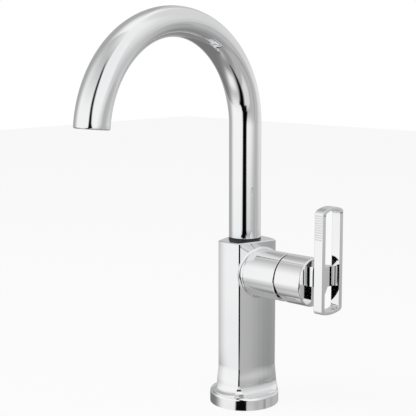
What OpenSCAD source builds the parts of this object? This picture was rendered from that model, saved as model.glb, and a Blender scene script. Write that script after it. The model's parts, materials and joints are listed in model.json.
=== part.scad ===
// Single lever bar faucet with a swivelling gooseneck spout and a loop handle.
// The origin is the centre of the flange's underside, which lies on the deck.
// +Z runs up the spout's riser, the spout reaches towards -Y and the handle's
// hub lies along +X. All lengths are in millimetres and all angles in degrees.

/* [Flange] */
// Outside diameter of the round flange on the deck
flange_d = 60; // [56:0.5:70]
// Height of the flange's upright rim
rim_h = 8.4; // [5:0.1:12]
// Radius of the rounded shoulder over the rim
shoulder_r = 3; // [2:0.1:4]
// Height of the level where the column's flare starts
flare_z = 10.4; // [9.5:0.1:13]
// Radius of the flare from the column's walls into the flange
flare_r = 10; // [6:0.5:12]
// Radius of the flare below the column's front corners
corner_flare_r = 8; // [5:0.5:10]
// Width of the ring groove for the deck seal
seal_w = 3.2; // [2:0.1:4]
// Depth of that groove
seal_h = 1.6; // [1:0.1:2.5]

// Depth by which the flare runs in under the flange's top
flare_dip = 0.2; // [0.1:0.05:0.4]

/* [Column] */
// Height of the column's flat top above the deck
column_h = 144.3; // [142:0.1:160]
// Width of the column across its front corners
front_w = 24.4; // [20:0.2:28]
// Width of the column across its back corners
back_w = 43.8; // [40:0.2:44]
// Distance of the front corners ahead of the riser's axis
front_y = 20.8; // [19.5:0.1:22]
// Distance of the back corners behind the riser's axis
back_y = 16; // [14:0.1:17.5]
// Bow of the front face between its corners
front_bow = 1.6; // [1:0.1:2.5]
// Bow of the back face between its corners
back_bow = 5.4; // [3.5:0.1:6]
// Width of the bevel on the four upright corners
corner_bevel = 1.3; // [0.6:0.1:2]
// Bevel round the column's top
top_bevel = 0.8; // [0.3:0.1:1.5]

/* [Inside the column] */
// Radius of the chamber that the two supply tubes rise in
chamber_r = 13.2; // [12.8:0.1:13.6]
// Distance of the chamber's roof below the hub's axis
chamber_drop = 25.4; // [22:0.1:40]
// Radius of the bored socket for the spout's tail
socket_r = 12.2; // [11.8:0.1:12.6]
// Depth of the socket in the column's top
socket_depth = 30.3; // [29.5:0.1:31]
// Distance of each supply line from the middle plane
port_y = 6.8; // [6.6:0.1:7]
// Radius of the drilled water ways
way_r = 2.6; // [2:0.1:2.8]

/* [Mounting hardware] */
// Radius of the threaded shank, for a 35 mm deck hole
shank_r = 16; // [15.5:0.1:16.5]
// Bore radius of the shank, for the supply hoses
shank_bore = 13; // [12:0.1:13.1]
// Length of the shank below the deck
shank_l = 62; // [50:1:80]
// Depth that the shank is screwed into the column
shank_in = 12; // [8:0.5:14]
// Thickness of the deck between the flange and the washers
deck_t = 25; // [10:1:32]
// Outside radius of the two washers
washer_r = 27; // [23:0.5:30]
// Thickness of the rubber washer
rubber_t = 3; // [2:0.5:4]
// Thickness of the steel washer
steel_t = 2; // [1:0.5:3]
// Height of the mounting nut
nut_h = 12; // [8:0.5:14]
// Width of the mounting nut across its flats
nut_af = 42; // [38:0.5:50]
// Radius of the two threaded supply inlets
inlet_r = 4.5; // [4:0.1:4.6]
// Depth of the threads in the supply inlets
inlet_l = 12; // [8:0.5:13]
// Height of the inlet block's underside above the deck
block_z = 16; // [14:0.5:30]
// Height of the inlet block
block_h = 18; // [16:0.5:24]
// Outside radius of each copper supply tube
tube_r = 4; // [3.4:0.1:4.2]
// Depth of each supply tube's seat at both ends
tube_seat = 4; // [3:0.5:4.5]
// Wall of the supply tubes
tube_wall = 1; // [0.6:0.1:1.2]

/* [Spout] */
// Outside radius of the gooseneck tube where it is round
pipe_r = 13.67; // [13.2:0.01:14.2]
// Wall of the gooseneck tube
pipe_wall = 1.4; // [1:0.1:1.5]
// Gap between the column's top and the tube's foot, which the black ring fills
foot_gap = 2.2; // [1.8:0.1:4]
// Length of the tube's straight riser
riser_l = 96; // [60:0.5:160]
// Radius of the arch along the tube's centre line
arch_r = 85.6; // [70:0.1:100]
// Angle that the arch turns through
arch_turn = 174.4; // [150:0.1:180]
// Half thickness of the bent tube in the arch's plane, over its round radius
bend_in = 0.883; // [0.86:0.001:1]
// Half width of the bent tube across the arch's plane, over its round radius
bend_out = 1.123; // [1:0.001:1.14]
// Angle over which the bent tube changes from round to oval
bend_blend = 25; // [10:1:40]
// Outside radius of the spout's tail in its socket
tail_r = 11.6; // [11.2:0.1:11.7]
// Bore radius of the spout's tail
tail_bore = 9; // [7:0.1:9.4]
// Length of the tail below the tube's foot
tail_l = 18.1; // [17.6:0.1:18.3]
// Length of the tail's shoulder inside the tube
tail_in = 8; // [5:0.5:12]
// Height of each O ring's groove
oring_h = 2; // [1.5:0.1:2.2]
// Radius at the bottom of the O rings' grooves
oring_in = 10.4; // [10:0.1:10.6]
// Radius of the screw that keeps the spout in its socket
keep_r = 1.5; // [1:0.1:1.6]

/* [Aerator] */
// Length of the aerator's housing
aerator_l = 8; // [6:0.5:9]
// Depth of the housing inside the spout's mouth
aerator_in = 0.9; // [0.5:0.1:2]
// Wall of the aerator's housing
aerator_wall = 1.7; // [1.2:0.1:2]
// Thickness of the aerator's insert
insert_t = 3; // [2:0.5:4]
// Radius of the holes in the insert
insert_hole_r = 0.8; // [0.6:0.1:0.9]
// Number of holes on the insert's outer circle
insert_holes = 14; // [8:1:16]

/* [Handle hub] */
// Distance of the hub's axis below the column's top
hub_drop = 26.9; // [26.4:0.1:27.2]
// Outside radius of the hub
hub_r = 20.3; // [19.9:0.1:20.7]
// Distance of the fixed sleeve's outer end from the riser's axis
sleeve_x = 48; // [47.8:0.1:49]
// Width of the groove between the sleeve and the handle's hub
groove_w = 1.1; // [1.1:0.1:1.4]
// Distance of the hub's outer face from the riser's axis
hub_x = 75.3; // [74:0.1:80]
// Wall of the hub's shell
hub_wall = 2.5; // [2:0.1:3]
// Depth of the hollow inside the hub's shell
hub_hollow = 14; // [10:0.5:18]
// Chamfer on the hub's outer edge
hub_bevel = 0.8; // [0.4:0.1:1.2]
// Radius of the flare round the sleeve where it meets the column
collar_flare = 3; // [1.5:0.1:3.4]
// Angle of the relief under the hub's inner edge
relief_a = 17; // [16:0.5:20]
// Distance of the relief's upper edge below the hub's axis
relief_z = 2.5; // [1.5:0.1:2.6]

/* [Cartridge] */
// Wall of the sleeve round the cartridge
sleeve_wall = 2.3; // [2:0.1:2.5]
// Distance of the cartridge's seat from the riser's axis
seat_x = 20.5; // [20.3:0.1:20.8]
// Thickness of the cartridge's base
base_t = 2.5; // [2.2:0.1:2.6]
// Thickness of each ceramic disc
disc_t = 2.4; // [2:0.1:2.6]
// Radius of the fixed ceramic disc
disc_r = 14.5; // [14:0.1:14.8]
// Radius of the moving ceramic disc
slider_r = 11; // [9.5:0.1:11.4]
// Thickness of the disc carrier
carrier_t = 3.7; // [3.4:0.1:3.8]
// Width and height of the disc carrier
carrier_w = 17; // [15:0.5:17.5]
// Thickness of the rotor's plate
rotor_t = 4.4; // [4:0.1:4.6]
// Radius of the rotor's neck
neck_r = 8.8; // [8.5:0.1:9.2]
// Wall of the cartridge's housing
housing_wall = 1.9; // [1.6:0.1:2.1]
// Thickness of the housing's front wall
housing_front = 1.6; // [1.2:0.1:1.8]
// Thickness of the ring nut that holds the cartridge
ring_nut_t = 4.5; // [3.5:0.1:5]
// Distance of the lever's pivot from the riser's axis
pivot_x = 41; // [40.8:0.1:41.2]
// Radius of the pivot pin
pin_r = 1.25; // [1:0.05:1.4]
// Width of the lever's stem
stem_w = 7; // [6:0.1:7.4]
// Height of the lever's stem
stem_h = 6; // [5:0.1:6.4]
// Radius of the ball at the stem's inner end
ball_r = 2.1; // [1.8:0.1:2.2]
// Distance of the ball's centre from the pivot
ball_arm = 11; // [10.8:0.1:11.2]
// Furthest tilt of the lever
tilt_max = 14; // [10:0.5:14]

/* [Loop handle] */
// Distance of the loop's inner face from the riser's axis
loop_x = 85; // [83:0.1:92]
// Depth of the loop along the hub's axis
loop_t = 8.6; // [7:0.1:10]
// Outside width of the loop
loop_w = 28.1; // [26:0.1:32]
// Distance of the loop's lower end below the hub's axis
loop_down = 23.6; // [21.5:0.1:32]
// Distance of the loop's upper end above the hub's axis
loop_up = 64.4; // [48:0.1:78]
// Radius of the crown at the loop's lower end
low_crown_r = 46; // [40:0.5:60]
// Radius of the crown at the loop's upper end
high_crown_r = 20.5; // [20:0.1:30]
// Thickness of the loop's two upright straps
strap_t = 4.2; // [3.5:0.1:5]
// Thickness of the loop's ends
end_t = 2.7; // [2:0.1:3.5]
// Radius of the loop's corners
loop_corner = 4; // [3:0.1:5]
// Distance of the bar's lower edge below the hub's axis
bar_down = 1.7; // [0:0.1:4.4]
// Distance of the bar's upper edge above the hub's axis
bar_up = 14.6; // [11.6:0.1:16.6]
// Depth that the bar reaches into the loop
bar_in = 2; // [1:0.1:4]
// Radius of the coves where the bar meets the straps
cove_r = 3.2; // [2:0.1:4]
// Number of grip grooves on each strap
grip_count = 11; // [5:1:13]
// Spacing of the grip grooves
grip_pitch = 2; // [1.6:0.1:2.2]
// Depth of the grip grooves
grip_depth = 0.4; // [0.2:0.05:0.6]

/* [Fits] */
// Radial clearance of threads and of pieces held in a seat
seat_gap = 0.05; // [0.02:0.01:0.08]
// Radial running clearance of the swivel's rings and the pivot pin
run_gap = 0.06; // [0.03:0.01:0.09]
// Free clearance round pieces that move past each other
free_gap = 0.3; // [0.25:0.01:0.35]
// Face clearance between parts that slide on each other
slide_gap = 0.05; // [0.02:0.01:0.08]

/* [Hidden] */
$fn = 64;

chrome = [0.82, 0.83, 0.85];
brass = [0.80, 0.66, 0.36];
rubber = [0.09, 0.09, 0.10];
white_plastic = [0.90, 0.90, 0.88];
grey_plastic = [0.45, 0.47, 0.50];
ceramic = [0.96, 0.95, 0.92];
steel = [0.68, 0.69, 0.71];
copper = [0.78, 0.47, 0.32];

// A little more than nothing, by which a cut runs past the face it opens
over = 1;

// Flange and column
flange_r = flange_d / 2;
side_turn = atan2(back_w / 2 - front_w / 2, back_y + front_y);
side_dist = front_w / 2 * cos(side_turn) + front_y * sin(side_turn);
front_r = (pow(front_w / 2, 2) + pow(front_bow, 2)) / (2 * front_bow);
back_r = (pow(back_w / 2, 2) + pow(back_bow, 2)) / (2 * back_bow);
front_c = front_r - front_y - front_bow;
back_c = back_y + back_bow - back_r;
// Directions that the faces look in, at the corners on the +X side
front_face_a = -90 + asin(front_w / 2 / front_r);
side_face_a = -side_turn;
back_face_a = 90 - asin(back_w / 2 / back_r);
front_bevel_a = (front_face_a + side_face_a) / 2;
back_bevel_a = (side_face_a + back_face_a) / 2;
front_bevel_dist = front_w / 2 * cos(front_bevel_a) - front_y * sin(front_bevel_a)
    - corner_bevel / 2 * tan((side_face_a - front_face_a) / 2);
back_bevel_dist = back_w / 2 * cos(back_bevel_a) + back_y * sin(back_bevel_a)
    - corner_bevel / 2 * tan((back_face_a - side_face_a) / 2);
wall_reach = 2 * flange_d;
// Distance of the side wall from the riser's axis, along X
wall_x = side_dist / cos(side_turn);
shank_seat_r = shank_r + seat_gap;
// Levels that are counted from the column's top and from the hub's axis
foot_z = column_h + foot_gap;
riser_top = foot_z + riser_l;
socket_z = column_h - socket_depth;
tail_z = foot_z - tail_l;
hub_z = column_h - hub_drop;
chamber_top = hub_z - chamber_drop;
loop_low = hub_z - loop_down;
loop_high = hub_z + loop_up;
bar_low = hub_z - bar_down;
bar_high = hub_z + bar_up;
seal_r = flange_r - 2;

// Cartridge, counted outwards from its seat
cart_r = hub_r - sleeve_wall;
cart_body_r = cart_r - free_gap;
base_x = seat_x + base_t;
fixed_x = base_x + disc_t;
slider_x = fixed_x + slide_gap;
carrier_x = slider_x + disc_t;
carrier_end = carrier_x + carrier_t;
rotor_x = carrier_end + free_gap;
rotor_end = rotor_x + rotor_t;
front_x = rotor_end + slide_gap;
housing_end = front_x + housing_front;
housing_in = cart_body_r - housing_wall;
rotor_r = housing_in - free_gap;
neck_end = sleeve_x - free_gap;
outlet_up = 7;
inlet_down = 8.5;
slot_up = stem_h / 2 + ball_arm * sin(tilt_max) + free_gap;
slider_travel = ball_arm * sin(tilt_max);

// Hub and loop
hub_face_x = sleeve_x + groove_w;
screw_x = hub_x - hub_hollow / 2;
screw_low = hub_z - hub_r + 2 * hub_wall;
screw_r = 2.5;
loop_inner_w = loop_w - 2 * strap_t;

// Spout
tail_top = foot_z + tail_in;
pipe_bore = pipe_r - 2 * pipe_wall;
mouth_bore = pipe_r - pipe_wall;
oring_z = tail_z + 1.6;
oring_step = oring_h + 2;
keeper_z = oring_z + 2 * oring_step + keep_r;
mouth_depth = aerator_in + aerator_l + 1.2;

// Point and turn of the spout's mouth
function arch_y(t) = arch_r * (cos(t) - 1);
function arch_z(t) = riser_top + arch_r * sin(t);
module at_mouth() translate([0, arch_y(arch_turn), arch_z(arch_turn)])
    rotate([arch_turn, 0, 0]) children();
// Things round the hub's axis, drawn along Z
module on_hub(x) translate([x, 0, hub_z]) rotate([0, 90, 0]) children();
module on_hub_solid(x0, x1, r) on_hub(x0) cylinder(h = x1 - x0, r = r);

module ring(h, r_out, r_in) difference() {
    cylinder(h = h, r = r_out);
    translate([0, 0, -over]) cylinder(h = h + 2 * over, r = r_in);
}

// ---- Column -------------------------------------------------------------

// Upright section through one wall: the wall's face stands at x = 0, with a
// bevel at its top and a concave flare at its foot
module wall_section(depth, foot) {
    difference() {
        polygon([[-depth, flare_z - over], [foot, flare_z - over],
            [foot, flare_z + foot - flare_dip],
            [0, flare_z + foot - flare_dip],
            [0, column_h - top_bevel], [-top_bevel, column_h],
            [-depth, column_h]]);
        translate([foot, flare_z + foot - flare_dip]) circle(r = foot);
    }
}
// A flat wall that looks in direction a, dist away from the riser's axis
module flat_wall(a, dist, foot)
    rotate([0, 0, a]) translate([dist, wall_reach / 2, 0]) rotate([90, 0, 0])
        linear_extrude(wall_reach) wall_section(wall_reach, foot);
// A bowed wall of radius r round the upright axis at y = c
module bowed_wall(c, r, foot)
    translate([0, c, 0]) rotate_extrude($fn = 128) intersection() {
        translate([r, 0]) wall_section(wall_reach, foot);
        square([wall_reach, wall_reach + column_h]);
    }

module flared_column() intersection() {
    cylinder(h = column_h, r = flange_r + over, $fn = 128);
    flat_wall(side_face_a, side_dist, flare_r);
    flat_wall(180 - side_face_a, side_dist, flare_r);
    flat_wall(front_bevel_a, front_bevel_dist, corner_flare_r);
    flat_wall(180 - front_bevel_a, front_bevel_dist, corner_flare_r);
    flat_wall(back_bevel_a, back_bevel_dist, flare_r);
    flat_wall(180 - back_bevel_a, back_bevel_dist, flare_r);
    bowed_wall(front_c, front_r, flare_r);
    bowed_wall(back_c, back_r, flare_r);
}

// Outline of the flange's rim, its round shoulder and the cone above it,
// which keeps the flared corners inside the flange
module rim_envelope() {
    cone = shoulder_r * cos(45);
    rotate_extrude($fn = 128) union() {
        square([flange_r, rim_h]);
        translate([0, rim_h - over / 2])
            square([flange_r - shoulder_r, column_h]);
        intersection() {
            translate([flange_r - shoulder_r, rim_h]) circle(r = shoulder_r);
            translate([0, rim_h - over / 2])
                square([flange_r, cone + over / 2]);
        }
        polygon([[0, rim_h], [flange_r - shoulder_r + cone, rim_h + cone],
            [0, rim_h + cone + flange_r - shoulder_r + cone]]);
    }
}

module column_body() color(chrome) difference() {
    intersection() {
        union() {
            cylinder(h = flare_z, r = flange_r, $fn = 128);
            flared_column();
        }
        rim_envelope();
    }
    // Groove for the deck seal
    translate([0, 0, -over]) ring(seal_h + over, seal_r, seal_r - seal_w);
    // Seat of the shank and the chamber for the supply tubes
    translate([0, 0, -over]) cylinder(h = shank_in + over, r = shank_seat_r);
    cylinder(h = chamber_top, r = chamber_r);
    // Socket of the spout's tail and the hole of its keeper screw
    translate([0, 0, socket_z]) cylinder(h = column_h, r = socket_r);
    translate([0, socket_r / 2, keeper_z]) rotate([-90, 0, 0])
        cylinder(h = flange_d, r = keep_r + seat_gap);
    // Pocket that the cartridge's seat needs where the wall stands proud
    on_hub_solid(seat_x, sleeve_x, cart_r);
    // Water ways to and from the cartridge
    for (side = [-1, 1]) {
        translate([0, side * port_y, chamber_top - over])
            cylinder(h = tube_seat + over, r = tube_r + seat_gap);
        translate([0, side * port_y, chamber_top])
            cylinder(h = hub_z - inlet_down - chamber_top, r = way_r);
        translate([0, side * port_y, hub_z - inlet_down]) rotate([0, 90, 0])
            cylinder(h = seat_x + over, r = way_r);
    }
    translate([socket_r / 2, 0, hub_z + outlet_up]) rotate([0, 90, 0])
        cylinder(h = seat_x, r = way_r);
}

module deck_seal() color(rubber)
    ring(seal_h, seal_r - seat_gap, seal_r - seal_w + seat_gap);

// ---- Mounting hardware --------------------------------------------------

module mounting_shank() color(brass)
    translate([0, 0, -shank_l]) difference() {
        cylinder(h = shank_l + shank_in, r = shank_r);
        translate([0, 0, -over])
            cylinder(h = shank_l + shank_in + 2 * over, r = shank_bore);
        // Chamfer that leads the nut onto the thread
        translate([0, 0, -over]) difference() {
            cylinder(h = over + 1, r = shank_r + over);
            cylinder(h = over + 1, r1 = shank_r - 1 - over, r2 = shank_r);
        }
    }
module rubber_washer() color(rubber)
    translate([0, 0, -deck_t - rubber_t])
        ring(rubber_t, washer_r, shank_r + free_gap);
module steel_washer() color(steel)
    translate([0, 0, -deck_t - rubber_t - steel_t])
        ring(steel_t, washer_r, shank_r + free_gap);
module mounting_nut() color(brass)
    translate([0, 0, -deck_t - rubber_t - steel_t - nut_h]) difference() {
        intersection() {
            cylinder(h = nut_h, r = nut_af / 2 / cos(30), $fn = 6);
            // The corners of the hexagon are turned off at both ends
            union() {
                cylinder(h = nut_h / 2, r1 = nut_af / 2,
                    r2 = nut_af / 2 + nut_h / 2);
                translate([0, 0, nut_h / 2]) cylinder(h = nut_h / 2,
                    r1 = nut_af / 2 + nut_h / 2, r2 = nut_af / 2);
            }
        }
        translate([0, 0, -over]) cylinder(h = nut_h + 2 * over, r = shank_seat_r);
    }
module inlet_block() color(brass) difference() {
    translate([0, 0, block_z]) cylinder(h = block_h, r = chamber_r - seat_gap);
    for (side = [-1, 1]) translate([0, side * port_y, block_z]) {
        translate([0, 0, -over]) cylinder(h = inlet_l + over, r = inlet_r);
        cylinder(h = block_h, r = way_r);
        translate([0, 0, block_h - tube_seat])
            cylinder(h = tube_seat + over, r = tube_r + seat_gap);
    }
}
module supply_tube(side) {
    low = block_z + block_h - tube_seat;
    translate([0, side * port_y, low])
        ring(chamber_top + tube_seat - low, tube_r, tube_r - tube_wall);
}
module hot_supply_tube() color(copper) supply_tube(1);
module cold_supply_tube() color(copper) supply_tube(-1);

// ---- Cartridge ----------------------------------------------------------

// Three ports: two inlets below the hub's axis and the outlet above it
module ports(x0, x1) {
    for (side = [-1, 1]) translate([x0, side * port_y, hub_z - inlet_down])
        rotate([0, 90, 0]) cylinder(h = x1 - x0, r = way_r);
    translate([x0, 0, hub_z + outlet_up])
        rotate([0, 90, 0]) cylinder(h = x1 - x0, r = way_r);
}
// Everything on the riser's side of the column's slanting wall
module inside_wall() rotate([0, 0, side_face_a])
    translate([side_dist - wall_reach, -wall_reach / 2, 0])
        cube([wall_reach, wall_reach, column_h]);
// Concave ring that spreads the sleeve out onto the slanting wall
module collar() {
    lip = hub_r + collar_flare;
    translate([wall_x, 0, hub_z]) rotate([0, 0, side_face_a])
        rotate([0, 90, 0]) rotate_extrude($fn = 96) difference() {
            square([lip, collar_flare]);
            translate([lip, collar_flare]) circle(r = collar_flare - seat_gap);
        }
}
module cartridge_sleeve() color(chrome) difference() {
    union() {
        on_hub_solid(wall_x - hub_r * tan(side_turn) - over, sleeve_x, hub_r);
        collar();
    }
    inside_wall();
    on_hub_solid(seat_x, sleeve_x + over, cart_r);
    ports(0, seat_x + over);
}
module cartridge_base() color(white_plastic) difference() {
    on_hub_solid(seat_x, base_x, cart_body_r);
    ports(seat_x - over, base_x + over);
}
module fixed_disc() color(ceramic) difference() {
    on_hub_solid(base_x, fixed_x, disc_r);
    ports(base_x - over, fixed_x + over);
}
module cartridge_housing() color(white_plastic) difference() {
    on_hub_solid(base_x, housing_end, cart_body_r);
    on_hub_solid(base_x - over, front_x, housing_in);
    on_hub_solid(front_x - over, housing_end + over, neck_r + free_gap);
}
module ring_nut() color(brass) difference() {
    on_hub_solid(housing_end, housing_end + ring_nut_t, cart_r - seat_gap);
    on_hub_solid(housing_end - over, housing_end + ring_nut_t + over,
        neck_r + 2 * free_gap);
    // Four slots for the fitting key
    for (a = [0, 90]) on_hub(housing_end + ring_nut_t) rotate([0, 0, a])
        translate([-hub_r, -1.5, -1.5]) cube([2 * hub_r, 3, 1.5 + over]);
}
module moving_disc() color(ceramic) difference() {
    on_hub_solid(slider_x, carrier_x, slider_r);
    // Blind mixing chamber in the face that lies on the fixed disc
    on_hub_solid(slider_x - over, slider_x + disc_t / 2, slider_r / 2);
}
module disc_carrier() color(grey_plastic) difference() {
    translate([carrier_x, -carrier_w / 2, hub_z - carrier_w / 2])
        cube([carrier_t, carrier_w, carrier_w]);
    // Socket of the stem's ball
    translate([pivot_x - ball_arm - ball_r - free_gap,
        -ball_r - free_gap, hub_z - ball_r - free_gap])
        cube([carrier_t + over, 2 * (ball_r + free_gap), 2 * (ball_r + free_gap)]);
}
module rotor() color(grey_plastic) difference() {
    union() {
        on_hub_solid(rotor_x, rotor_end, rotor_r);
        on_hub_solid(rotor_end - over, neck_end, neck_r);
        // Two rails that guide the disc carrier
        difference() {
            on_hub_solid(carrier_x + free_gap, rotor_x + over, rotor_r);
            translate([carrier_x, -carrier_w / 2 - free_gap, hub_z - hub_r])
                cube([rotor_x - carrier_x, carrier_w + 2 * free_gap, 2 * hub_r]);
        }
    }
    // Slot that the stem tilts in
    translate([carrier_x, -stem_w / 2 - free_gap, hub_z - slot_up])
        cube([hub_x, stem_w + 2 * free_gap, 2 * slot_up]);
    translate([pivot_x, 0, hub_z]) rotate([90, 0, 0])
        cylinder(h = 2 * hub_r, r = pin_r + seat_gap, center = true);
}
module pivot_pin() color(steel)
    translate([pivot_x, 0, hub_z]) rotate([90, 0, 0])
        cylinder(h = 2 * (neck_r - 1), r = pin_r, center = true);

// ---- Lever and handle ---------------------------------------------------

module lever_stem() color(steel) difference() {
    union() {
        translate([pivot_x - stem_h / 2, -stem_w / 2, hub_z - stem_h / 2])
            cube([screw_x + screw_r + 1 - pivot_x + stem_h / 2, stem_w, stem_h]);
        translate([pivot_x - ball_arm, 0, hub_z]) {
            rotate([0, 90, 0]) cylinder(h = ball_arm, r = ball_r * 0.7);
            sphere(r = ball_r);
        }
    }
    translate([pivot_x, 0, hub_z]) rotate([90, 0, 0])
        cylinder(h = 2 * stem_w, r = pin_r + run_gap, center = true);
}
module handle_hub() color(chrome) difference() {
    union() {
        on_hub_solid(hub_face_x, hub_x - hub_bevel, hub_r);
        on_hub(hub_x - hub_bevel)
            cylinder(h = hub_bevel, r1 = hub_r, r2 = hub_r - hub_bevel);
    }
    // Hollow behind the end wall
    on_hub_solid(hub_face_x - over, hub_face_x + hub_hollow, hub_r - hub_wall);
    // Relief that lets the lower edge swing in when the lever tilts
    translate([hub_face_x, 0, hub_z - relief_z]) rotate([0, -relief_a, 0])
        translate([-hub_r, -2 * hub_r, -2 * hub_r])
            cube([hub_r, 4 * hub_r, 2 * hub_r]);
    // Socket of the stem and the hole of its set screw
    translate([hub_face_x, -stem_w / 2 - seat_gap, hub_z - stem_h / 2 - seat_gap])
        cube([screw_x + screw_r + 1 + seat_gap - hub_face_x,
            stem_w + 2 * seat_gap, stem_h + 2 * seat_gap]);
    translate([screw_x, 0, hub_z - 2 * hub_r])
        cylinder(h = 2 * hub_r, r = screw_r + seat_gap);
}
module handle_set_screw() color(steel) difference() {
    translate([screw_x, 0, screw_low])
        cylinder(h = hub_z - stem_h / 2 - screw_low, r = screw_r);
    // Hexagon socket for the key
    translate([screw_x, 0, screw_low - over])
        cylinder(h = 2 + over, r = screw_r / 2, $fn = 6);
}

// Outline of the loop in the Y-Z plane: upright sides and two crowned ends
// with round corners
module crowned_end(w, r, c) {
    rise = sqrt(pow(r - c, 2) - pow(w / 2 - c, 2));
    touch = (w / 2 - c) * r / (r - c);
    for (side = [-1, 1]) translate([side * (w / 2 - c), rise]) circle(r = c);
    intersection() {
        circle(r = r, $fn = 128);
        translate([-touch, 0]) square([2 * touch, r]);
    }
    translate([-w / 2, 0]) square([w, rise]);
}
module loop_outline(w, low, high, low_r, high_r, c) {
    middle = (low + high) / 2;
    intersection() {
        translate([0, high - high_r]) union() {
            crowned_end(w, high_r, c);
            translate([-w / 2, low - high]) square([w, high - low]);
        }
        translate([0, low + low_r]) mirror([0, 1]) union() {
            crowned_end(w, low_r, c);
            translate([-w / 2, low - high]) square([w, high - low]);
        }
    }
}
// Turns a drawing in the plane of Y and Z into a plate from x0 to x1
module plate(x0, x1) translate([x0, 0, 0]) rotate([90, 0, 90])
    linear_extrude(x1 - x0) children();

module loop_handle() color(chrome) difference() {
    plate(loop_x, loop_x + loop_t) difference() {
        loop_outline(loop_w, loop_low, loop_high, low_crown_r, high_crown_r,
            loop_corner);
        loop_outline(loop_inner_w, loop_low + end_t, loop_high - end_t,
            low_crown_r - end_t, high_crown_r - end_t, loop_corner);
    }
    // Grip grooves across both straps, below the upper corners
    for (side = [-1, 1], i = [0 : grip_count - 1])
        translate([loop_x - over, side * loop_w / 2 - grip_depth,
            loop_high - loop_corner - grip_pitch * (i + 1)])
            cube([loop_t + 2 * over, 2 * grip_depth, grip_pitch / 2]);
}
module cross_bar() color(chrome)
    translate([0, 0, bar_low]) linear_extrude(bar_high - bar_low) difference() {
        translate([hub_x, -loop_inner_w / 2])
            square([loop_x + bar_in + cove_r - hub_x, loop_inner_w]);
        // The outer face is hollowed between two coves
        translate([loop_x + bar_in + cove_r, 0])
            square([2 * cove_r, loop_inner_w - 2 * cove_r], center = true);
        for (side = [-1, 1])
            translate([loop_x + bar_in + cove_r, side * (loop_inner_w / 2 - cove_r)])
                circle(r = cove_r);
    }

// ---- Spout --------------------------------------------------------------

// Share of the way from round to oval at angle t of the arch
function ease(s) = s * s * (3 - 2 * s);
function oval(t) = ease(max(0, min(1, t / bend_blend, (arch_turn - t) / bend_blend)));
// The tube's outer ring number i: the first is the foot, the rest climb
// the arch
arch_steps = 46;
ring_sides = 36;
function ring_t(i) = i == 0 ? 0 : arch_turn * (i - 1) / arch_steps;
function ring_z(i) = i == 0 ? foot_z : riser_top;
function ring_point(i, a) =
    let (t = ring_t(i), k = oval(t),
        across = pipe_r * (1 + k * (bend_out - 1)) * cos(a),
        out = pipe_r * (1 + k * (bend_in - 1)) * sin(a))
    [across, arch_y(t) + out * cos(t),
        ring_z(i) + (arch_r + out) * sin(t)];
module pipe_skin() {
    n = ring_sides;
    m = arch_steps + 2;
    points = [for (i = [0 : m - 1], j = [0 : n - 1]) ring_point(i, 360 * j / n)];
    // Each patch is two triangles, because the bent tube's patches aren't flat
    sides = [for (i = [0 : m - 2], j = [0 : n - 1])
        let (a = i * n + j, b = i * n + (j + 1) % n, c = a + n, d = b + n)
        each [[a, c, d], [a, d, b]]];
    polyhedron(points = points, faces = concat(
        [[for (j = [0 : n - 1]) j]], sides,
        [[for (j = [n - 1 : -1 : 0]) (m - 1) * n + j]]));
}
module gooseneck_tube() color(chrome) difference() {
    pipe_skin();
    translate([0, 0, foot_z - over])
        cylinder(h = tail_in + over, r = mouth_bore);
    translate([0, 0, foot_z]) cylinder(h = riser_top - foot_z, r = pipe_bore);
    translate([0, -arch_r, riser_top]) rotate([90, 0, 90])
        rotate_extrude(angle = arch_turn)
            translate([arch_r, 0]) circle(r = pipe_bore);
    at_mouth() translate([0, 0, -mouth_depth])
        cylinder(h = mouth_depth + over, r = mouth_bore);
}
module spout_tail() color(brass) difference() {
    union() {
        translate([0, 0, tail_z]) cylinder(h = tail_top - tail_z, r = tail_r);
        translate([0, 0, foot_z])
            cylinder(h = tail_in, r = mouth_bore - seat_gap);
    }
    translate([0, 0, tail_z - over])
        cylinder(h = tail_top - tail_z + 2 * over, r = tail_bore);
    for (i = [0, 1]) translate([0, 0, oring_z + i * oring_step])
        ring(oring_h, tail_r + over, oring_in);
    // Groove that the keeper screw runs in
    translate([0, 0, keeper_z - keep_r - free_gap])
        ring(2 * (keep_r + free_gap), tail_r + over, oring_in);
}
module o_ring(i) color(rubber) translate([0, 0, oring_z + i * oring_step])
    ring(oring_h, socket_r - run_gap, oring_in + seat_gap);
module lower_o_ring() o_ring(0);
module upper_o_ring() o_ring(1);
module spout_keeper_screw() color(steel)
    translate([0, oring_in + free_gap, keeper_z]) rotate([-90, 0, 0])
        cylinder(h = back_y + back_bow - 1 - oring_in - free_gap, r = keep_r);
// Black ring of two steps between the column's top and the tube's foot
module foot_ring() color(rubber) {
    step = (foot_z - slide_gap - column_h) / 2;
    translate([0, 0, column_h]) union() {
        ring(step, pipe_r + 0.2, tail_r + free_gap);
        ring(2 * step, pipe_r - 0.5, tail_r + free_gap);
    }
}

// ---- Aerator ------------------------------------------------------------

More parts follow.
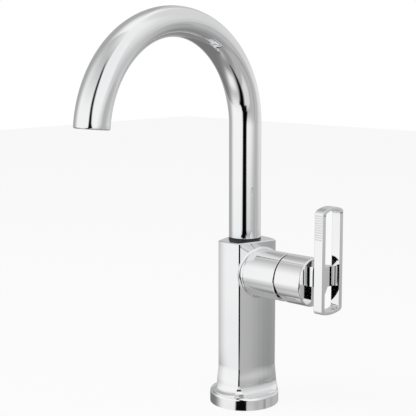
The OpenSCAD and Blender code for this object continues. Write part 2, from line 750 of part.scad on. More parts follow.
module aerator_housing() color(chrome) at_mouth()
    translate([0, 0, -aerator_in - aerator_l]) difference() {
        cylinder(h = aerator_l, r = mouth_bore - seat_gap);
        translate([0, 0, -over])
            cylinder(h = aerator_l + 2 * over, r = mouth_bore - aerator_wall);
        // Notches for the key that turns it out
        for (a = [0 : 30 : 150]) rotate([0, 0, a])
            translate([-mouth_bore, -0.75, aerator_l - 1])
                cube([2 * mouth_bore, 1.5, 1 + over]);
    }
module aerator_insert() color(grey_plastic) at_mouth()
    translate([0, 0, -aerator_in - 1.4 - insert_t]) difference() {
        cylinder(h = insert_t, r = mouth_bore - aerator_wall - seat_gap);
        for (k = [1 : 3]) for (a = [0 : 360 / round(insert_holes * k / 3) : 359])
            rotate([0, 0, a]) translate([k * 2.7, 0, -over])
                cylinder(h = insert_t + 2 * over, r = insert_hole_r);
    }
module aerator_seal() color(rubber) at_mouth()
    translate([0, 0, -mouth_depth])
        ring(mouth_depth - aerator_in - aerator_l, mouth_bore - 2 * seat_gap,
            mouth_bore - aerator_wall);

column_body();
deck_seal();
mounting_shank();
rubber_washer();
steel_washer();
mounting_nut();
inlet_block();
hot_supply_tube();
cold_supply_tube();
foot_ring();
spout_keeper_screw();
cartridge_sleeve();
cartridge_base();
fixed_disc();
cartridge_housing();
ring_nut();
gooseneck_tube();
spout_tail();
lower_o_ring();
upper_o_ring();
aerator_housing();
aerator_insert();
aerator_seal();
rotor();
pivot_pin();
disc_carrier();
moving_disc();
lever_stem();
handle_hub();
handle_set_screw();
cross_bar();
loop_handle();
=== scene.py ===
import json
import math

import bmesh
import bpy
from mathutils import Matrix, Vector


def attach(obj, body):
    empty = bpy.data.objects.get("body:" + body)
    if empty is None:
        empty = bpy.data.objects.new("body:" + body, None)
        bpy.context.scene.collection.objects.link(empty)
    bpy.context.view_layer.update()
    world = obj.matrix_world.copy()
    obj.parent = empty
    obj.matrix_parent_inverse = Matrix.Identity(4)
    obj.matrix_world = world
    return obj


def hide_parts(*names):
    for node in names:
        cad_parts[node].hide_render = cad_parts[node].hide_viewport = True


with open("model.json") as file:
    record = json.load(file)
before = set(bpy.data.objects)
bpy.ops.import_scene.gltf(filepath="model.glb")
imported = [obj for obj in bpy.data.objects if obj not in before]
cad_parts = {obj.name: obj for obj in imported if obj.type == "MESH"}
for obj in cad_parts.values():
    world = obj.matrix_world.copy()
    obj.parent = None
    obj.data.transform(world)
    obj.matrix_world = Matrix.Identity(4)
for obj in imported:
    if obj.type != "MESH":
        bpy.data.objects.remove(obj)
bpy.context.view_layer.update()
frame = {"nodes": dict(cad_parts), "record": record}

scene = bpy.context.scene
nodes = frame["nodes"]
mm = 0.001
print("frame loaded:", len(nodes), "pieces")

# the camera stands in front and to the right, a little above the handle
shot = {
    "place": (0.5876, -0.6780, 0.3135),
    "turn": 42.937,     # degrees round the upright axis
    "tip": 9.02,       # degrees below the horizon
    "roll": -0.11,
    "lens": 91.54,
}


def addNode(tree, kind, **settings):
    node = tree.nodes.new("ShaderNode" + kind)
    for key, value in settings.items():
        if hasattr(node, key):
            setattr(node, key, value)
        else:
            node.inputs[key].default_value = value
    return node


def wire(tree, source, target):
    tree.links.new(source.outputs[0], target.inputs[0])


def sums(tree, operation, first, second=None, third=None):
    node = addNode(tree, "Math", operation=operation)
    for i, value in enumerate((first, second, third)):
        if value is None:
            continue
        if isinstance(value, (int, float)):
            node.inputs[i].default_value = value
        else:
            tree.links.new(value, node.inputs[i])
    return node.outputs[0]


def spread(tree, value, low, high, toLow, toHigh):
    node = addNode(tree, "MapRange", interpolation_type="SMOOTHSTEP")
    tree.links.new(value, node.inputs["Value"])
    for socket, number in zip(("From Min", "From Max", "To Min", "To Max"), (low, high, toLow, toHigh)):
        node.inputs[socket].default_value = number
    return node.outputs[0]


def newFinish(name):
    finish = bpy.data.materials.new(name)
    finish.use_nodes = True
    tree = finish.node_tree
    tree.nodes.clear()
    out = addNode(tree, "OutputMaterial")
    skin = addNode(tree, "BsdfPrincipled")
    wire(tree, skin, out)
    place = addNode(tree, "TexCoord")
    return finish, tree, skin, place.outputs["Object"]


def mottle(tree, where, scale, detail=3.0, rough=0.5, stretch=(1, 1, 1)):
    move = addNode(tree, "Mapping")
    move.inputs["Scale"].default_value = stretch
    tree.links.new(where, move.inputs["Vector"])
    noise = addNode(tree, "TexNoise", Scale=scale, Detail=detail, Roughness=rough)
    tree.links.new(move.outputs[0], noise.inputs["Vector"])
    return noise.outputs[0]


def tinted(tree, value, low, high, dark, light):
    ramp = addNode(tree, "ValToRGB")
    ramp.color_ramp.elements[0].position = low
    ramp.color_ramp.elements[1].position = high
    ramp.color_ramp.elements[0].color = (*dark, 1)
    ramp.color_ramp.elements[1].color = (*light, 1)
    tree.links.new(value, ramp.inputs[0])
    return ramp.outputs[0]


def bumped(tree, skin, height, strength, distance):
    bump = addNode(tree, "Bump", Strength=strength, Distance=distance)
    tree.links.new(height, bump.inputs["Height"])
    tree.links.new(bump.outputs[0], skin.inputs["Normal"])


chromeLook = {
    "dark": (0.84, 0.845, 0.855), "light": (0.90, 0.90, 0.905), "patches": (0.35, 0.65),
    "sheen": (0.035, 0.06),   # roughness where freshly wiped and where handled
    "worn": (0.45, 0.85),     # wear at which the first gives way to the second
    "haze": 9.0,              # wiped patches, fine marks and ripple, all per metre
    "fine": 900.0, "ripple": 60.0, "rippleStrength": 0.012,
}


def makeChrome():
    finish, tree, skin, where = newFinish("polishedChrome")
    haze = mottle(tree, where, chromeLook["haze"], 4.0, 0.55)
    colour = tinted(tree, haze, *chromeLook["patches"], chromeLook["dark"], chromeLook["light"])
    tree.links.new(colour, skin.inputs["Base Color"])
    skin.inputs["Metallic"].default_value = 1.0
    fine = mottle(tree, where, chromeLook["fine"], 2.0, 0.6, (1, 1, 0.15))
    wear = sums(tree, "MULTIPLY_ADD", fine, 0.25, haze)
    tree.links.new(spread(tree, wear, *chromeLook["worn"], *chromeLook["sheen"]), skin.inputs["Roughness"])
    ripple = mottle(tree, where, chromeLook["ripple"], 1.0, 0.4)
    bumped(tree, skin, ripple, chromeLook["rippleStrength"], 0.0005)
    return finish


def makeMetal(name, dark, light, shine, grain):
    finish, tree, skin, where = newFinish(name)
    patches = mottle(tree, where, 45.0, 4.0)
    tree.links.new(tinted(tree, patches, 0.3, 0.7, dark, light), skin.inputs["Base Color"])
    skin.inputs["Metallic"].default_value = 1.0
    turned = mottle(tree, where, grain, 2.0, 0.6, (0.2, 0.2, 4.0))   # fine marks left by the lathe
    tree.links.new(spread(tree, turned, 0.3, 0.7, shine, shine + 0.14), skin.inputs["Roughness"])
    bumped(tree, skin, turned, 0.10, 0.0001)
    return finish


def makePlain(name, dark, light, shine, grain, strength, coat=0.0):
    finish, tree, skin, where = newFinish(name)
    patches = mottle(tree, where, 120.0, 5.0)
    tree.links.new(tinted(tree, patches, 0.35, 0.65, dark, light), skin.inputs["Base Color"])
    tree.links.new(spread(tree, patches, 0.3, 0.7, shine, shine + 0.1), skin.inputs["Roughness"])
    skin.inputs["Coat Weight"].default_value = coat
    bumped(tree, skin, mottle(tree, where, grain, 3.0), strength, 0.0002)
    return finish


finishes = {
    "chrome": makeChrome(),
    "brass": makeMetal("machinedBrass", (0.62, 0.44, 0.18), (0.78, 0.60, 0.28), 0.20, 700.0),
    "copper": makeMetal("drawnCopper", (0.62, 0.30, 0.18), (0.80, 0.44, 0.29), 0.24, 500.0),
    "steel": makeMetal("plainSteel", (0.52, 0.53, 0.54), (0.68, 0.69, 0.70), 0.22, 800.0),
    "rubber": makePlain("blackRubber", (0.012, 0.012, 0.014), (0.03, 0.03, 0.033), 0.32, 1800.0, 0.15),
    "white_plastic": makePlain("whitePlastic", (0.76, 0.76, 0.73), (0.84, 0.84, 0.81), 0.38, 1200.0, 0.08),
    "grey_plastic": makePlain("greyPlastic", (0.24, 0.255, 0.28), (0.33, 0.345, 0.37), 0.36, 1200.0, 0.08),
    "ceramic": makePlain("polishedCeramic", (0.86, 0.84, 0.80), (0.92, 0.90, 0.87), 0.12, 600.0, 0.02,
                         coat=0.6),
}
print("finishes made:", len(finishes))

bodyOf = {n: body for body, members in frame["record"]["behaviour"]["bodies"].items() for n in members}
slotOf = {part["node"]: part["material_slot"] for part in frame["record"]["subparts"]}


def dress(thing, slot):
    thing.data.materials.clear()
    thing.data.materials.append(finishes[slot])


for name, thing in nodes.items():
    dress(thing, slotOf[name])


def finished(bm, name, body, slot, *stoodFor, sharp=30.0):
    for face in bm.faces:
        face.smooth = True
    for edge in bm.edges:
        edge.smooth = len(edge.link_faces) == 2 and edge.calc_face_angle(0.0) < math.radians(sharp)
    mesh = bpy.data.meshes.new(name)
    bm.to_mesh(mesh)
    bm.free()
    piece = bpy.data.objects.new(name, mesh)
    scene.collection.objects.link(piece)
    dress(piece, slot)
    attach(piece, body)
    if stoodFor:
        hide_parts(*stoodFor)
    return piece


def evenNormals(piece):
    weighted = piece.modifiers.new("evenNormals", "WEIGHTED_NORMAL")
    weighted.weight = 100
    weighted.keep_sharp = True


def merged(node):
    bm = bmesh.new()
    bm.from_mesh(nodes[node].data)
    bmesh.ops.remove_doubles(bm, verts=bm.verts[:], dist=0.002 * mm)
    bmesh.ops.dissolve_degenerate(bm, edges=bm.edges[:], dist=0.001 * mm)
    return bm


def softenEdges(bm, wanted, width):
    bmesh.ops.dissolve_limit(bm, angle_limit=math.radians(0.4), verts=bm.verts[:], edges=bm.edges[:])
    keen = math.radians(35)
    edges = [e for e in bm.edges
             if len(e.link_faces) == 2 and e.calc_face_angle(0.0) > keen and wanted(e)]
    bmesh.ops.bevel(bm, geom=edges, offset=width, offset_type="OFFSET", segments=3, profile=0.5,
                    affect="EDGES", clamp_overlap=False, material=-1)


def skinned(rings):
    # mesh through rings of points, the last ring joined to the first
    bm = bmesh.new()
    loops = []
    for ring in rings:
        made = bmesh.ops.create_circle(bm, segments=len(ring), radius=1.0)["verts"]
        for vert, place in zip(made, ring):
            vert.co = place
        loops.append(made)
    n = len(rings[0])
    for here, there in zip(loops, loops[1:] + loops[:1]):
        for j in range(n):
            bm.faces.new((here[j], here[(j + 1) % n], there[(j + 1) % n], there[j]))
    bmesh.ops.recalc_face_normals(bm, faces=bm.faces[:])
    return bm


# gooseneck: one ring of points, led up the riser and round the arch, turned in
# over the mouth's lip and led back inside as the bore
neck = {
    "radius": 13.67, "wall": 1.4, "foot": 146.5, "riserTop": 242.5,
    "arch": 85.6, "turn": 174.4, "blend": 25.0, "thin": 0.883, "broad": 1.123,
    "points": 96, "steps": 88, "riserSteps": 12, "lip": 1.2, "past": 1.6, "footRound": 0.2,
    "footSeat": 8.0, "footEase": 0.2, "mouthSeat": 10.0, "mouthEase": 0.1,
}


def ringPlace(turn, along, across, outward):
    # matrix that lays the unit ring square to the tube, at an angle of the arch
    t = math.radians(turn)
    centre = Vector((0, neck["arch"] * (math.cos(t) - 1), neck["riserTop"] + neck["arch"] * math.sin(t)))
    centre += along * Vector((0, -math.sin(t), math.cos(t)))
    size = Matrix.Diagonal((across * mm, outward * mm, mm, 1))
    return Matrix.Translation(centre * mm) @ Matrix.Rotation(t, 4, "X") @ size


def neckShape(turn):
    share = max(0.0, min(1.0, turn / neck["blend"], (neck["turn"] - turn) / neck["blend"]))
    share = share * share * (3 - 2 * share)
    r = neck["radius"]
    return r * (1 + share * (neck["broad"] - 1)), r * (1 + share * (neck["thin"] - 1))


def buildNeck():
    r, lip, low = neck["radius"], neck["lip"], neck["foot"] - neck["riserTop"]
    inner = r - neck["wall"]
    bore = r - 2 * neck["wall"]
    innerLip = neck["wall"] - lip
    edge = neck["footRound"]
    places = [ringPlace(0, low, r - edge, r - edge)]
    for i in range(1, 5):
        a = math.radians(22.5 * i)
        size = r - edge * (1 - math.sin(a))
        places.append(ringPlace(0, low + edge * (1 - math.cos(a)), size, size))
    turns = [neck["turn"] * i / neck["steps"] for i in range(neck["steps"] + 1)]
    places += [ringPlace(0, low * (1 - i / neck["riserSteps"]), r, r) for i in range(1, neck["riserSteps"])]
    places += [ringPlace(t, 0, *neckShape(t)) for t in turns[:-1]]
    for i in range(7):    # lip of the mouth, rolled in
        a = math.radians(15 * i)
        size = r - lip * (1 - math.cos(a))
        places.append(ringPlace(neck["turn"], neck["past"] + lip * (math.sin(a) - 1), size, size))
    for i in range(6, -1, -1):
        a = math.radians(15 * i)
        size = inner + innerLip * (1 - math.cos(a))
        places.append(ringPlace(neck["turn"], neck["past"] + innerLip * (math.sin(a) - 1), size, size))
    places.append(ringPlace(neck["turn"], -neck["mouthSeat"], inner, inner))
    places.append(ringPlace(neck["turn"], -neck["mouthSeat"] - neck["mouthEase"], bore, bore))
    places += [ringPlace(t, 0, bore, bore) for t in reversed(turns[:-6:2])]
    places.append(ringPlace(0, low + neck["footSeat"] + neck["footEase"], bore, bore))
    places.append(ringPlace(0, low + neck["footSeat"], inner, inner))
    places.append(ringPlace(0, low, inner, inner))

    bm = bmesh.new()
    made = bmesh.ops.create_circle(bm, segments=neck["points"], radius=1.0)
    bmesh.ops.transform(bm, matrix=places[0], verts=made["verts"])
    first = bm.edges[:]
    ring = first
    for before, after in zip(places, places[1:]):
        grown = bmesh.ops.extrude_edge_only(bm, edges=ring)["geom"]
        points = [g for g in grown if isinstance(g, bmesh.types.BMVert)]
        ring = [g for g in grown
                if isinstance(g, bmesh.types.BMEdge) and all(v in set(points) for v in g.verts)]
        bmesh.ops.transform(bm, matrix=after @ before.inverted(), verts=points)
    bmesh.ops.bridge_loops(bm, edges=first + ring)
    bmesh.ops.recalc_face_normals(bm, faces=bm.faces[:])
    finished(bm, "gooseneck", "spout", "chrome", "gooseneck_tube", sharp=50.0)


buildNeck()
print("gooseneck built")

# column: the side walls are crowned a little, as polished castings are, and the
# flare is drawn gently up the walls and corners
castColumn = {
    "sideTurn": 14.77, "sideDist": 17.1, "crown": 0.3, "strips": 8,
    "flareLow": 11.0, "flareMost": 20.0, "flareHigh": 34.0, "wallOut": 1.3,
    "chamber": 14.4, "corner": 27.0, "cornerOut": 2.3,
    "slices": (*range(11, 37), 38, 41, 46, 54, 66),   # heights at which the walls are cut across
}


def drawnOut(reach, z):
    # how far a point of the wall moves outward, in mm
    low, most, high = castColumn["flareLow"], castColumn["flareMost"], castColumn["flareHigh"]
    if z > high or z < low - 0.1 or reach < castColumn["chamber"]:
        return 0.0
    share = (z - low) / (most - low) if z < most else (high - z) / (high - most)
    share = max(0.0, share)
    wall = castColumn["wallOut"] * share * share * (3 - 2 * share)
    rise = min(1.0, (high - z) / (high - low)) ** 1.7
    corner = max(0.0, castColumn["corner"] + castColumn["cornerOut"] * rise - reach)
    near = max(0.0, min(1.0, reach - castColumn["corner"] + 1))
    return wall + (corner - wall) * near


def buildColumn():
    bm = merged("column_body")
    turn = math.radians(castColumn["sideTurn"])
    dist, crown, strips = castColumn["sideDist"], castColumn["crown"], castColumn["strips"]
    bmesh.ops.dissolve_limit(bm, angle_limit=math.radians(0.2), verts=bm.verts[:], edges=bm.edges[:])

    def slice(place, normal):
        bmesh.ops.bisect_plane(bm, geom=bm.verts[:] + bm.edges[:] + bm.faces[:], dist=1e-6,
                               plane_co=place, plane_no=normal)

    for z in castColumn["slices"]:
        slice(Vector((0, 0, z * mm)), Vector((0, 0, 1)))
    for side in (-1, 1):
        outward = Vector((side * math.cos(turn), -math.sin(turn), 0))
        along = Vector((side * math.sin(turn), math.cos(turn), 0))
        wall = [v for v in bm.verts if abs(v.co.dot(outward) / mm - dist) < 0.02 and v.co.z > 40 * mm]
        low, high = min(v.co.dot(along) for v in wall), max(v.co.dot(along) for v in wall)
        for i in range(1, strips):
            slice(along * (low + (high - low) * i / strips), along)
        for v in bm.verts:
            share = (v.co.dot(along) - low) / (high - low)
            if abs(v.co.dot(outward) / mm - dist) < 1.0 and v.co.z > 20 * mm and 0 < share < 1:
                v.co += outward * (crown * mm * 4 * share * (1 - share))
    for v in bm.verts:
        reach = v.co.xy.length
        if reach > 1e-4:
            wider = 1 + drawnOut(reach / mm, v.co.z / mm) * mm / reach
            v.co.x *= wider
            v.co.y *= wider
    evenNormals(finished(bm, "column", "base", "chrome", "column_body", sharp=18.0))


buildColumn()
print("column built")

# loop handle: a closed strap, drawn as rounded cross sections led round the
# outline, with the grip grooves cut into its outer sides
strap = {
    "front": 85.0, "deep": 8.6, "width": 27.3, "low": 93.8, "high": 181.8,
    "thick": 3.95, "ends": 2.7, "lowCrown": 46.0, "highCrown": 30.0, "corner": 3.2,
    "round": 0.5, "grips": 11, "pitch": 1.92, "firstGrip": 176.3, "gripWide": 1.15, "gripDepth": 0.4,
    "plain": (150, 140, 130, 120, 110, 104),   # heights of points below the grip
}


def crownEnd(width, top, crown, sign):
    # points (y, z, share of groove) from the right side over the end to the left side
    corner = strap["corner"]
    inset = width / 2 - corner
    centre = top - sign * crown
    rise = math.sqrt((crown - corner) ** 2 - inset ** 2)
    lean = math.atan2(rise, inset)
    points = [(inset + corner * math.cos(a), rise + corner * math.sin(a))
              for a in (lean * i / 8 for i in range(9))]
    points += [(crown * math.cos(a), crown * math.sin(a))
               for a in (lean + (math.pi - 2 * lean) * i / 16 for i in range(1, 16))]
    points += [(-y, z) for y, z in reversed(points[:9])]
    return [(y, centre + sign * z, 0) for y, z in points]


def strapOutline(width, low, high, lowCrown, highCrown, cut):
    over = crownEnd(width, high, highCrown, 1)
    under = crownEnd(width, low, lowCrown, -1)
    side = []
    for i in range(strap["grips"]):    # each groove is a shallow hollow
        top = strap["firstGrip"] - strap["pitch"] * i
        side += [(top - strap["gripWide"] * t, cut * 4 * t * (1 - t))
                 for t in (0, 0.2, 0.4, 0.6, 0.8, 1)]
    side += [(z, 0) for z in strap["plain"]]
    left = [(depth - width / 2, z, depth) for z, depth in side]
    right = [(width / 2 - depth, z, depth) for z, depth in reversed(side)]
    return over + left + list(reversed(under)) + right


def buildLoop():
    width, thick, ends = strap["width"], strap["thick"], strap["ends"]
    outer = strapOutline(width, strap["low"], strap["high"], strap["lowCrown"], strap["highCrown"],
                         strap["gripDepth"])
    inner = strapOutline(width - 2 * thick, strap["low"] + ends, strap["high"] - ends,
                         strap["lowCrown"] - ends, strap["highCrown"] - ends, 0)
    r = strap["round"]
    front, deep = strap["front"], strap["deep"]
    rings = []
    for (y, z, cut), (innerY, innerZ, flat) in zip(outer, inner):
        far = Vector((0, y, z))
        near = Vector((0, innerY, innerZ))
        reach = (far - near).length
        along = (far - near) / reach
        ring = []
        for turn, u, v in ((0, reach - r, deep - r), (90, r, deep - r), (180, r, r), (270, reach - r, r)):
            for i in range(6):
                a = math.radians(turn + 18 * i)
                outward = Vector((front + v + r * math.sin(a), 0, 0))
                ring.append((near + along * (u + r * math.cos(a)) + outward) * mm)
        rings.append(ring)
    evenNormals(finished(skinned(rings), "loop", "lever", "chrome", "loop_handle", sharp=40.0))


buildLoop()
print("loop built")


# cross bar: waisted between the hub and the loop, with two coves on its front
crossBar = {
    "back": 75.3, "loop": 85.0, "front": 88.3, "half": 9.6, "waist": 2.2,
    "cove": 3.2, "low": 115.7, "high": 132.0, "edge": 0.35,
}


def arcBetween(start, end, sag, steps):
    # points of a shallow arc, its hollow on the left of the way from start to end
    start, end = Vector(start), Vector(end)
    along = (end - start).normalized()
    span = (end - start).length
    radius = (span * span / 4 + sag * sag) / (2 * sag)
    wide = math.asin(span / 2 / radius)
    middle = (start + end) / 2 + Vector((along.y, -along.x)) * (radius - sag)
    return [middle + radius * (Vector((-along.y, along.x)) * math.cos(a) + along * math.sin(a))
            for a in (wide * (2 * i / steps - 1) for i in range(steps + 1))]


def buildBar():
    half, cove = crossBar["half"], crossBar["cove"]
    tip = crossBar["front"] + cove
    side = arcBetween((crossBar["back"], half), (crossBar["loop"], half), -crossBar["waist"], 14)
    side.append(Vector((tip, half)))
    side += [Vector((tip - cove * math.sin(a), half - cove + cove * math.cos(a)))
             for a in (math.radians(90 * i / 10) for i in range(1, 11))]
    profile = side + [Vector((p.x, -p.y)) for p in reversed(side)]
    bm = bmesh.new()
    made = bmesh.ops.create_circle(bm, segments=len(profile), radius=1.0, cap_ends=True)["verts"]
    for vert, place in zip(made, profile):
        vert.co = (place.x * mm, place.y * mm, crossBar["low"] * mm)
    lid = bmesh.ops.extrude_face_region(bm, geom=bm.faces[:])["geom"]
    rise = (crossBar["high"] - crossBar["low"]) * mm
    bmesh.ops.translate(bm, vec=(0, 0, rise), verts=[g for g in lid if isinstance(g, bmesh.types.BMVert)])
    bmesh.ops.recalc_face_normals(bm, faces=bm.faces[:])
    rims = [e for e in bm.edges if abs(e.verts[0].co.z - e.verts[1].co.z) < 1e-6]
    bmesh.ops.bevel(bm, geom=rims, offset=crossBar["edge"] * mm, offset_type="OFFSET", segments=3,
                    profile=0.5, affect="EDGES", clamp_overlap=True, material=-1)
    evenNormals(finished(bm, "bar", "lever", "chrome", "cross_bar", sharp=40.0))


buildBar()
print("bar built")

# mounting shank: the thread runs its whole length
threaded = {
    "crest": 15.95, "root": 15.2, "bore": 13.0, "low": -62.0, "high": 12.0,
    "pitch": 1.5, "points": 72, "perTurn": 4,
}


def buildShank():
    n, low, high, pitch = threaded["points"], threaded["low"], threaded["high"], threaded["pitch"]
    root, rise = threaded["root"], threaded["crest"] - threaded["root"]

    def ring(z, radius):
        turns = [2 * math.pi * j / n for j in range(n)]
        return [(radius(j) * math.cos(a) * mm, radius(j) * math.sin(a) * mm, z * mm)
                for j, a in enumerate(turns)]

    steps = round((high - low) / pitch * threaded["perTurn"])
    rings = []
    for i in range(steps + 1):
        z = low + (high - low) * i / steps
        ends = min(1.0, (z - low) / pitch, (high - z) / pitch)     # the thread runs in at both ends
        rings.append(ring(z, lambda j: root + rise * ends * abs(2 * ((z / pitch - j / n) % 1) - 1)))
    rings.append(ring(high, lambda j: threaded["bore"]))
    rings.append(ring(low, lambda j: threaded["bore"]))
    finished(skinned(rings), "shank", "base", slotOf["mounting_shank"], "mounting_shank", sharp=75.0)


buildShank()
print("shank built")

# pieces whose solids have the true shape: merged into smooth chrome, with their
# outer edges broken as polishing leaves them
hubAxis = 117.4
chromePieces = {
    "sleeve": {"node": "cartridge_sleeve", "edge": 0.7, "from": 47.5, "outside": 19.9},
    "hub": {"node": "handle_hub", "edge": 0.7, "from": 48.5, "outside": 19.9},
    "aeratorShell": {"node": "aerator_housing"},
}


def onOuterRim(edge, look):
    return all(v.co.x > look["from"] * mm
               and math.hypot(v.co.y, v.co.z - hubAxis * mm) > look["outside"] * mm for v in edge.verts)



for name, look in chromePieces.items():
    bm = merged(look["node"])
    if "edge" in look:
        softenEdges(bm, lambda e: onOuterRim(e, look), look["edge"] * mm)
    evenNormals(finished(bm, name, bodyOf[look["node"]], "chrome", look["node"], sharp=24.0))
print("chrome pieces built:", len(chromePieces))


room = {"half": 2.5, "floorWhite": 0.88, "shade": (0.86, 0.86, 0.86)}


def makeFloor():
    bm = bmesh.new()
    bmesh.ops.create_grid(bm, x_segments=1, y_segments=1, size=room["half"])
    mesh = bpy.data.meshes.new("floor")
    bm.to_mesh(mesh)
    bm.free()
    floor = bpy.data.objects.new("floor", mesh)
    scene.collection.objects.link(floor)
    paint = bpy.data.materials.new("paleFloor")
    paint.use_nodes = True
    tree = paint.node_tree
    tree.nodes.clear()
    out = addNode(tree, "OutputMaterial")
    cloth = addNode(tree, "BsdfDiffuse", Color=(*room["shade"], 1))
    glow = addNode(tree, "Emission", Color=(1, 1, 1, 1), Strength=1.0)
    clear = addNode(tree, "BsdfTransparent")
    path = addNode(tree, "LightPath")
    lit = addNode(tree, "MixShader")
    lit.inputs[0].default_value = room["floorWhite"]
    tree.links.new(cloth.outputs[0], lit.inputs[1])
    tree.links.new(glow.outputs[0], lit.inputs[2])
    seen = addNode(tree, "MixShader")     # plain cloth, but near white to the camera
    tree.links.new(path.outputs["Is Camera Ray"], seen.inputs[0])
    tree.links.new(cloth.outputs[0], seen.inputs[1])
    tree.links.new(lit.outputs[0], seen.inputs[2])
    mirrored = sums(tree, "MAXIMUM", path.outputs["Is Glossy Ray"], path.outputs["Is Transmission Ray"])
    both = addNode(tree, "MixShader")     # metal looks past it, at the studio
    tree.links.new(mirrored, both.inputs[0])
    tree.links.new(seen.outputs[0], both.inputs[1])
    tree.links.new(clear.outputs[0], both.inputs[2])
    wire(tree, both, out)
    mesh.materials.append(paint)


makeFloor()

# What the chrome mirrors: a white studio with grey and black flags. Each flag is
# a soft edged patch of the sky, in degrees to the right of the camera (left,
# right) and above the horizon (low, high); lean moves its sides with height. Most
# of the numbers were fitted by a least-squares program to the reflections in the
# photograph; two of the black flags and some edges of others were set by hand
studio = {"wall": 1.013, "dull": 0.52}
flags = [
    # grey ceiling to the left, and the softer walls behind the faucet
    {"left": -127.6, "right": -35.5, "low": 38.7, "high": 78,
     "leanLeft": 0.06, "leanRight": 0.24, "soft": 4.5, "softUp": 20.2, "grey": 0.586},
    {"left": 45.2, "right": 180.9, "low": 3.7, "high": 77.1,
     "leanLeft": 0.18, "leanRight": -0.35, "soft": 9.9, "softUp": 7.9, "grey": 0.752},
    {"left": -211.8, "right": -108.3, "low": -43.4, "high": 54.7,
     "leanLeft": -0.14, "leanRight": -0.17, "soft": 20.1, "softUp": 15.5, "grey": 0.442},
    {"left": 158.9, "right": 221.7, "low": -42.9, "high": 49.1,
     "leanLeft": 0.21, "leanRight": -0.32, "soft": 5.3, "softUp": 13.3, "grey": 0.596},
    {"left": 57.4, "right": 104.5, "low": -35.5, "high": 1.1,
     "leanLeft": 0.38, "leanRight": -0.33, "soft": 29.4, "softUp": 21.9, "grey": 0.228},
    {"left": -11, "right": 79.7, "low": 40.4, "high": 143,
     "leanLeft": -0.02, "leanRight": 0.31, "soft": 17.1, "softUp": 30, "grey": 0.955},
    {"left": 87.4, "right": 193.2, "low": 76, "high": 106.9,
     "leanLeft": -0.04, "leanRight": 0.42, "soft": 3.2, "softUp": 24.5, "grey": 0.955},
    # the deck and floor below the eye
    {"left": -400.5, "right": 400, "low": -93.6, "high": -30.8,
     "leanLeft": 0.53, "leanRight": 0.12, "soft": 5.9, "softUp": 20.8, "grey": 0.322},
    {"left": -28.1, "right": 58.6, "low": -62.6, "high": -10.1,
     "leanLeft": -0.17, "leanRight": -0.13, "soft": 9.8, "softUp": 7.8, "grey": 0.489},
    {"left": -132.6, "right": -50.1, "low": -61.9, "high": -39.4,
     "leanLeft": -0.55, "leanRight": 0, "soft": 20, "softUp": 8.9, "grey": 0.929},
    {"left": -221.3, "right": -94.2, "low": -88.4, "high": -17.5,
     "leanLeft": 0.43, "leanRight": 0.39, "soft": 30, "softUp": 1.1, "grey": 0.206},
    {"left": 113.5, "right": 173.8, "low": -94.9, "high": -14.5,
     "leanLeft": 0.06, "leanRight": -0.41, "soft": 21.3, "softUp": 30, "grey": 0.272},
    {"left": 73.2, "right": 97.5, "low": -29.1, "high": -5.4,
     "leanLeft": 0.03, "leanRight": 0.07, "soft": 2.7, "softUp": 5.2, "grey": 0.534},
    {"left": 46.6, "right": 66.7, "low": -24.9, "high": -9.5,
     "leanLeft": 0, "leanRight": 0.06, "soft": 4.2, "softUp": 4.1, "grey": 0.519},
    {"left": -13.9, "right": 31.9, "low": -43.4, "high": -19.8,
     "leanLeft": 0.12, "leanRight": 0.03, "soft": 8.9, "softUp": 3, "grey": 0.767},
    # black flag round the camera, which leans to the left at both ends
    {"left": -8.6, "right": 5.4, "low": 0.1, "high": 55.4,
     "leanLeft": -0.63, "leanRight": -0.66, "soft": 4.9, "softUp": 9.6, "grey": 0.005},
    {"left": -16.8, "right": 3.4, "low": -5.1, "high": 14.6,
     "leanLeft": 0.24, "leanRight": -0.72, "soft": 4.5, "softUp": 1.5, "grey": 0.001},
    {"left": 15.6, "right": 38.8, "low": -26, "high": -14,
     "leanLeft": 2.4, "leanRight": 2.2, "soft": 4, "softUp": 1.5, "grey": 0.001},
    {"left": -17, "right": 5.6, "low": -17.6, "high": -1.4,
     "leanLeft": 0.34, "leanRight": -0.42, "soft": 4, "softUp": 1.5, "grey": 0.001},
    {"left": -29, "right": 5.4, "low": -22.7, "high": -17,
     "leanLeft": 0, "leanRight": 0, "soft": 2, "softUp": 1, "grey": 0.003},
    {"left": -50.9, "right": -4.4, "low": -73.2, "high": -22,
     "leanLeft": -0.27, "leanRight": 0.21, "soft": 8.8, "softUp": 0.7, "grey": 0.001},
]


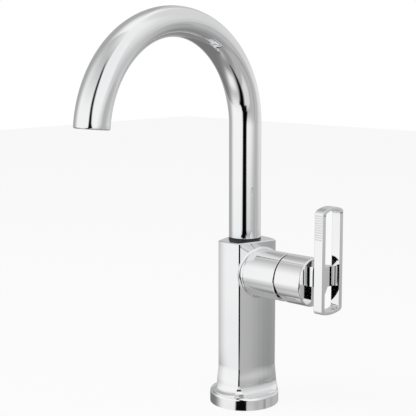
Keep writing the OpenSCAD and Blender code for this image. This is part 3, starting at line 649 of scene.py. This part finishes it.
def makeWorld():
    world = bpy.data.worlds.new("studio")
    scene.world = world
    world.use_nodes = True
    tree = world.node_tree
    tree.nodes.clear()
    out = addNode(tree, "OutputWorld")
    sky = addNode(tree, "Background", Color=(1, 1, 1, 1))
    wire(tree, sky, out)
    look = addNode(tree, "TexCoord")
    turned = addNode(tree, "VectorRotate", rotation_type="Z_AXIS")
    turned.inputs["Angle"].default_value = math.radians(90 - shot["turn"])
    tree.links.new(look.outputs["Generated"], turned.inputs["Vector"])
    parts = addNode(tree, "SeparateXYZ")
    wire(tree, turned, parts)
    x, y, z = parts.outputs[:3]
    side = sums(tree, "MULTIPLY", sums(tree, "ARCTAN2", y, x), math.degrees(1))
    height = sums(tree, "MULTIPLY", sums(tree, "ARCSINE", z), math.degrees(1))
    level = studio["wall"]
    for flag in flags:
        soft, tall = flag["soft"], flag["softUp"]
        leftEdge = sums(tree, "MULTIPLY_ADD", height, flag["leanLeft"], flag["left"])
        rightEdge = sums(tree, "MULTIPLY_ADD", height, flag["leanRight"], flag["right"])
        fromLeft = spread(tree, sums(tree, "SUBTRACT", side, leftEdge), -soft, soft, 0, 1)
        fromRight = spread(tree, sums(tree, "SUBTRACT", side, rightEdge), -soft, soft, 1, 0)
        mask = sums(tree, "MULTIPLY", fromLeft, fromRight)
        fromLow = spread(tree, height, flag["low"] - tall, flag["low"] + tall, 0, 1)
        fromHigh = spread(tree, height, flag["high"] - tall, flag["high"] + tall, 1, 0)
        mask = sums(tree, "MULTIPLY", sums(tree, "MULTIPLY", mask, fromLow), fromHigh)
        change = addNode(tree, "Mix", data_type="FLOAT")
        tree.links.new(mask, change.inputs[0])
        if isinstance(level, float):
            change.inputs[2].default_value = level
        else:
            tree.links.new(level, change.inputs[2])
        change.inputs[3].default_value = flag["grey"]
        level = change.outputs[0]
    path = addNode(tree, "LightPath")
    mirrored = sums(tree, "MAXIMUM", path.outputs["Is Glossy Ray"], path.outputs["Is Transmission Ray"])
    white = addNode(tree, "Mix", data_type="FLOAT")   # what lights the dull pieces and the floor
    white.inputs[2].default_value = studio["dull"]
    white.inputs[3].default_value = 1.0
    tree.links.new(path.outputs["Is Camera Ray"], white.inputs[0])
    pick = addNode(tree, "Mix", data_type="FLOAT")
    tree.links.new(mirrored, pick.inputs[0])
    tree.links.new(white.outputs[0], pick.inputs[2])
    tree.links.new(level, pick.inputs[3])
    tree.links.new(pick.outputs[0], sky.inputs["Strength"])


makeWorld()

lampAim = Vector((0, 0, 0.15))
lamps = {
    "key": {"at": (-0.5, -0.9, 1.3), "size": 1.2, "power": 9.0},
    "fill": {"at": (1.2, -0.3, 0.9), "size": 1.0, "power": 5.0},
}
for name, lamp in lamps.items():
    data = bpy.data.lights.new(name, "AREA")
    data.size, data.energy = lamp["size"], lamp["power"]
    light = bpy.data.objects.new(name, data)
    light.location = lamp["at"]
    light.rotation_euler = (lampAim - light.location).to_track_quat("-Z", "Y").to_euler()
    light.visible_glossy = False
    scene.collection.objects.link(light)

turn, tip = math.radians(shot["turn"]), math.radians(shot["tip"])
back = Vector((math.sin(turn) * math.cos(tip), -math.cos(turn) * math.cos(tip), math.sin(tip)))
right = Vector((math.cos(turn), math.sin(turn), 0))
roll = Matrix.Rotation(math.radians(shot["roll"]), 3, "Z")
facing = Matrix((right, back.cross(right), back)).transposed() @ roll
lens = bpy.data.cameras.new("camera")
lens.lens, lens.sensor_width = shot["lens"], 36
lens.clip_start, lens.clip_end = 0.05, 20
camera = bpy.data.objects.new("camera", lens)
camera.matrix_world = Matrix.Translation(shot["place"]) @ facing.to_4x4()
scene.collection.objects.link(camera)
scene.camera = camera
scene.view_settings.view_transform = "Standard"
print("studio ready")
